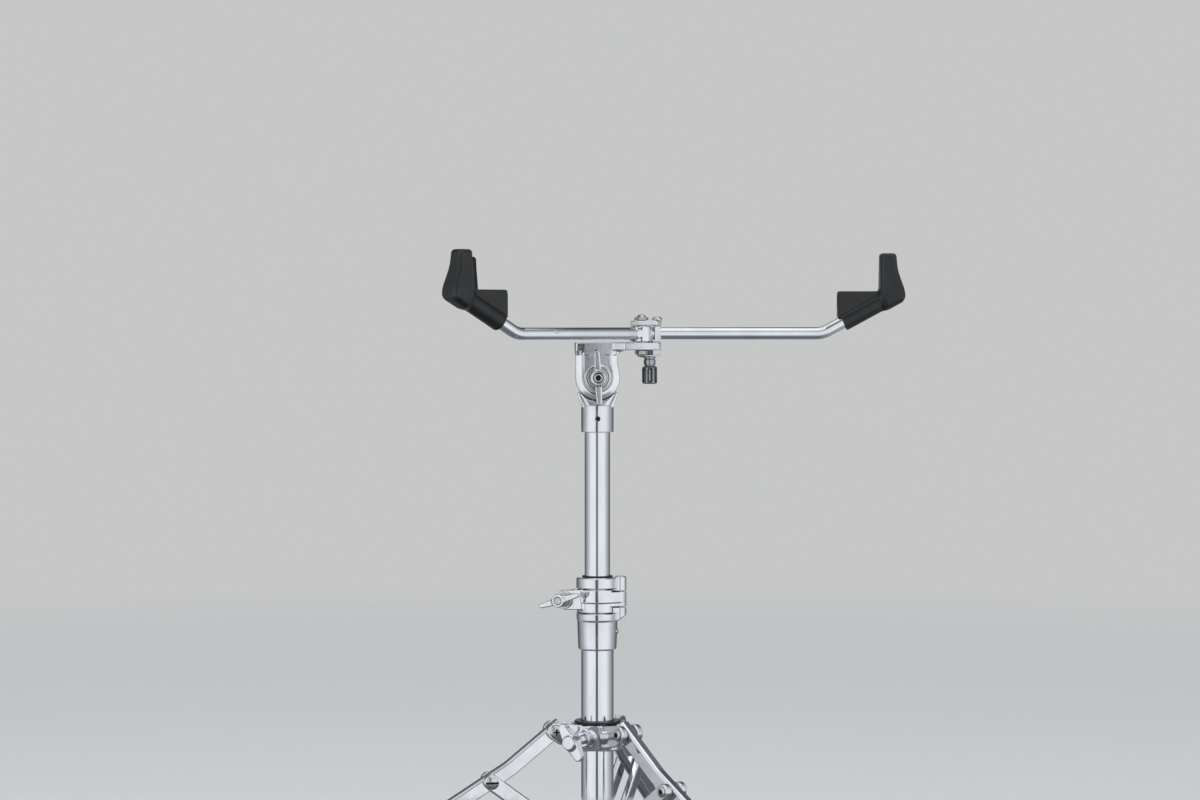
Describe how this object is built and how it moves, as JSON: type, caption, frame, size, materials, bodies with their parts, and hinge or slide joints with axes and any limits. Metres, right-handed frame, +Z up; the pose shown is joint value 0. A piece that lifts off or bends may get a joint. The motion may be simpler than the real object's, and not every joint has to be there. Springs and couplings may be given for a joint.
{
  "type": "snare drum stand",
  "caption": "Folding chrome tripod stand with a height clamp, a wing-nut tilter and an adjustable basket of arms with black rubber claws that hold a drum.",
  "frame": {"origin": "middle of the stand's footprint box, on the floor", "axes": "+Z up the column; +X from the tilter towards the sliding basket arm; +Y away from the tilter's wing nut"},
  "size_m": [0.558, 0.5272, 0.571],
  "materials": {
    "arm_strap": "bright chrome plate on steel",
    "basket_knob": "nickel plated steel",
    "clamp_body": "chrome plated die casting",
    "clamp_bushing": "black moulded nylon",
    "clamp_hinge_pin": "nickel plated steel",
    "clamp_jaw": "chrome plated die casting",
    "clamp_set_screw": "nickel plated steel",
    "clamp_stud": "nickel plated steel",
    "clamp_washer": "nickel plated steel",
    "clamp_wing_nut": "chrome plated die casting",
    "collar_bushing": "black moulded nylon",
    "collar_wing_bolt": "chrome plated die casting",
    "front_left_arm": "bright chrome plate on steel",
    "front_left_claw": "matt black moulded rubber",
    "front_pivot_bolt": "nickel plated steel",
    "hub_cap": "chrome plated die casting",
    "left_foot": "matt black moulded rubber",
    "left_leg": "bright chrome plate on steel",
    "left_leg_bolt": "nickel plated steel",
    "left_stay_a": "bright chrome plate on steel",
    "left_stay_b": "bright chrome plate on steel",
    "left_stay_pin": "nickel plated steel",
    "left_stay_screw_a": "nickel plated steel",
    "left_stay_screw_b": "nickel plated steel",
    "leg_collar": "chrome plated die casting",
    "lower_collar": "chrome plated die casting",
    "main_tube": "bright chrome plate on steel",
    "rear_foot": "matt black moulded rubber",
    "rear_left_arm": "bright chrome plate on steel",
    "rear_left_claw": "matt black moulded rubber",
    "rear_leg": "bright chrome plate on steel",
    "rear_leg_bolt": "nickel plated steel",
    "rear_pivot_bolt": "nickel plated steel",
    "rear_stay_a": "bright chrome plate on steel",
    "rear_stay_b": "bright chrome plate on steel",
    "rear_stay_pin": "nickel plated steel",
    "rear_stay_screw_a": "nickel plated steel",
    "rear_stay_screw_b": "nickel plated steel",
    "right_arm": "bright chrome plate on steel",
    "right_claw": "matt black moulded rubber",
    "right_foot": "matt black moulded rubber",
    "right_leg": "bright chrome plate on steel",
    "right_leg_bolt": "nickel plated steel",
    "right_stay_a": "bright chrome plate on steel",
    "right_stay_b": "bright chrome plate on steel",
    "right_stay_pin": "nickel plated steel",
    "right_stay_screw_a": "nickel plated steel",
    "right_stay_screw_b": "nickel plated steel",
    "socket_screw": "nickel plated steel",
    "tilter_base": "chrome plated die casting",
    "tilter_bolt": "nickel plated steel",
    "tilter_head": "chrome plated die casting",
    "tilter_washer": "nickel plated steel",
    "tilter_wing_nut": "chrome plated die casting",
    "tube_end_plug": "black moulded nylon",
    "tube_guide": "black moulded nylon",
    "upper_tube": "bright chrome plate on steel"
  },
  "bodies": {
    "column": {"main_tube": "main_tube", "tube_end_plug": "tube_end_plug", "lower_collar": "lower_collar", "left_stay_pin": "left_stay_pin", "right_stay_pin": "right_stay_pin", "rear_stay_pin": "rear_stay_pin", "clamp_body": "clamp_body", "clamp_hinge_pin": "clamp_hinge_pin", "clamp_stud": "clamp_stud", "clamp_set_screw": "clamp_set_screw", "clamp_bushing": "clamp_bushing"},
    "leg_collar": {"leg_collar": "leg_collar", "collar_bushing": "collar_bushing", "left_leg_bolt": "left_leg_bolt", "right_leg_bolt": "right_leg_bolt", "rear_leg_bolt": "rear_leg_bolt"},
    "collar_wing_bolt": {"collar_wing_bolt": "collar_wing_bolt"},
    "clamp_jaw": {"clamp_jaw": "clamp_jaw"},
    "clamp_washer": {"clamp_washer": "clamp_washer"},
    "clamp_wing_nut": {"clamp_wing_nut": "clamp_wing_nut"},
    "upper_tube": {"upper_tube": "upper_tube", "tube_guide": "tube_guide", "tilter_base": "tilter_base", "tilter_bolt": "tilter_bolt", "tilter_washer": "tilter_washer"},
    "tilter_wing_nut": {"tilter_wing_nut": "tilter_wing_nut"},
    "basket": {"tilter_head": "tilter_head", "hub_cap": "hub_cap", "front_pivot_bolt": "front_pivot_bolt", "rear_pivot_bolt": "rear_pivot_bolt", "socket_screw": "socket_screw", "arm_strap": "arm_strap"},
    "basket_knob": {"basket_knob": "basket_knob"},
    "right_arm": {"right_arm": "right_arm", "right_claw": "right_claw"},
    "front_left_arm": {"front_left_arm": "front_left_arm", "front_left_claw": "front_left_claw"},
    "rear_left_arm": {"rear_left_arm": "rear_left_arm", "rear_left_claw": "rear_left_claw"},
    "left_leg": {"left_leg": "left_leg", "left_foot": "left_foot"},
    "left_stay": {"left_stay_a": "left_stay_a", "left_stay_b": "left_stay_b", "left_stay_screw_a": "left_stay_screw_a", "left_stay_screw_b": "left_stay_screw_b"},
    "right_leg": {"right_leg": "right_leg", "right_foot": "right_foot"},
    "right_stay": {"right_stay_a": "right_stay_a", "right_stay_b": "right_stay_b", "right_stay_screw_a": "right_stay_screw_a", "right_stay_screw_b": "right_stay_screw_b"},
    "rear_leg": {"rear_leg": "rear_leg", "rear_foot": "rear_foot"},
    "rear_stay": {"rear_stay_a": "rear_stay_a", "rear_stay_b": "rear_stay_b", "rear_stay_screw_a": "rear_stay_screw_a", "rear_stay_screw_b": "rear_stay_screw_b"}
  },
  "joints": [
    {"name": "left_leg_fold", "type": "hinge", "parent": "leg_collar", "child": "left_leg", "pos_m": [-0.01464, -0.03145, 0.175], "axis": [0.1736, -0.9848, 0], "range_deg": [0, 48]},
    {"name": "left_stay_fold", "type": "hinge", "parent": "column", "child": "left_stay", "pos_m": [-0.01464, -0.03145, 0.09424], "axis": [-0.1736, 0.9848, 0], "range_deg": [0, 48]},
    {"name": "right_leg_fold", "type": "hinge", "parent": "leg_collar", "child": "right_leg", "pos_m": [0.04559, -0.05337, 0.175], "axis": [0.766, 0.6428, 0], "range_deg": [0, 48]},
    {"name": "right_stay_fold", "type": "hinge", "parent": "column", "child": "right_stay", "pos_m": [0.04559, -0.05337, 0.09424], "axis": [-0.766, -0.6428, 0], "range_deg": [0, 48]},
    {"name": "rear_leg_fold", "type": "hinge", "parent": "leg_collar", "child": "rear_leg", "pos_m": [0.03446, 0.00974, 0.175], "axis": [-0.9397, 0.342, 0], "range_deg": [0, 48]},
    {"name": "rear_stay_fold", "type": "hinge", "parent": "column", "child": "rear_stay", "pos_m": [0.03446, 0.00974, 0.09424], "axis": [0.9397, -0.342, 0], "range_deg": [0, 48]},
    {"name": "collar_slide", "type": "slide", "parent": "column", "child": "leg_collar", "axis": [0, 0, 1], "range_m": [0, 0.053]},
    {"name": "collar_bolt_spin", "type": "hinge", "parent": "leg_collar", "child": "collar_wing_bolt", "pos_m": [0.0018, -0.05967, 0.16945], "axis": [-0.5, -0.866, 0], "continuous": true},
    {"name": "clamp_nut_spin", "type": "hinge", "parent": "clamp_washer", "child": "clamp_wing_nut", "pos_m": [-0.00703, -0.0363, 0.28395], "axis": [-0.4695, -0.8829, 0], "range_deg": [0, 360]},
    {"name": "clamp_washer_slide", "type": "slide", "parent": "column", "child": "clamp_washer", "axis": [-0.4695, -0.8829, 0], "range_m": [0, 0.00127]},
    {"name": "jaw_swing", "type": "hinge", "parent": "column", "child": "clamp_jaw", "pos_m": [0.0408, -0.02903, 0.28395], "axis": [0, 0, 1], "range_deg": [0, 1.68]},
    {"name": "height_slide", "type": "slide", "parent": "column", "child": "upper_tube", "axis": [0, 0, 1], "range_m": [-0.112, 0.035]},
    {"name": "basket_tilt", "type": "hinge", "parent": "upper_tube", "child": "basket", "pos_m": [0.0218, -0.02503, 0.468], "axis": [0, -1, 0], "range_deg": [-20, 60]},
    {"name": "tilt_nut_spin", "type": "hinge", "parent": "upper_tube", "child": "tilter_wing_nut", "pos_m": [0.0218, -0.04223, 0.468], "axis": [0, -1, 0], "continuous": true},
    {"name": "right_arm_slide", "type": "slide", "parent": "basket", "child": "right_arm", "axis": [1, 0, 0], "range_m": [-0.012, 0.015]},
    {"name": "front_left_swing", "type": "hinge", "parent": "basket", "child": "front_left_arm", "pos_m": [0.0583, -0.04003, 0.5045], "axis": [0, 0, 1], "range_deg": [-35, 30]},
    {"name": "rear_left_swing", "type": "hinge", "parent": "basket", "child": "rear_left_arm", "pos_m": [0.0583, -0.01003, 0.5045], "axis": [0, 0, -1], "range_deg": [-35, 30]},
    {"name": "knob_spin", "type": "hinge", "parent": "basket", "child": "basket_knob", "pos_m": [0.0652, -0.02503, 0.4855], "axis": [0, 0, 1], "continuous": true}
  ],
  "couplings": [
    {"joint": "right_leg_fold", "follows": "left_leg_fold", "ratio": 1},
    {"joint": "rear_leg_fold", "follows": "left_leg_fold", "ratio": 1},
    {"joint": "left_stay_fold", "follows": "left_leg_fold", "ratio": 1},
    {"joint": "right_stay_fold", "follows": "left_leg_fold", "ratio": 1},
    {"joint": "rear_stay_fold", "follows": "left_leg_fold", "ratio": 1},
    {"joint": "collar_slide", "follows": "left_leg_fold", "m_per_rad": 0.06317},
    {"joint": "clamp_washer_slide", "follows": "clamp_nut_spin", "m_per_rad": 0.00019894},
    {"joint": "jaw_swing", "follows": "clamp_nut_spin", "ratio": 0.0046121}
  ]
}
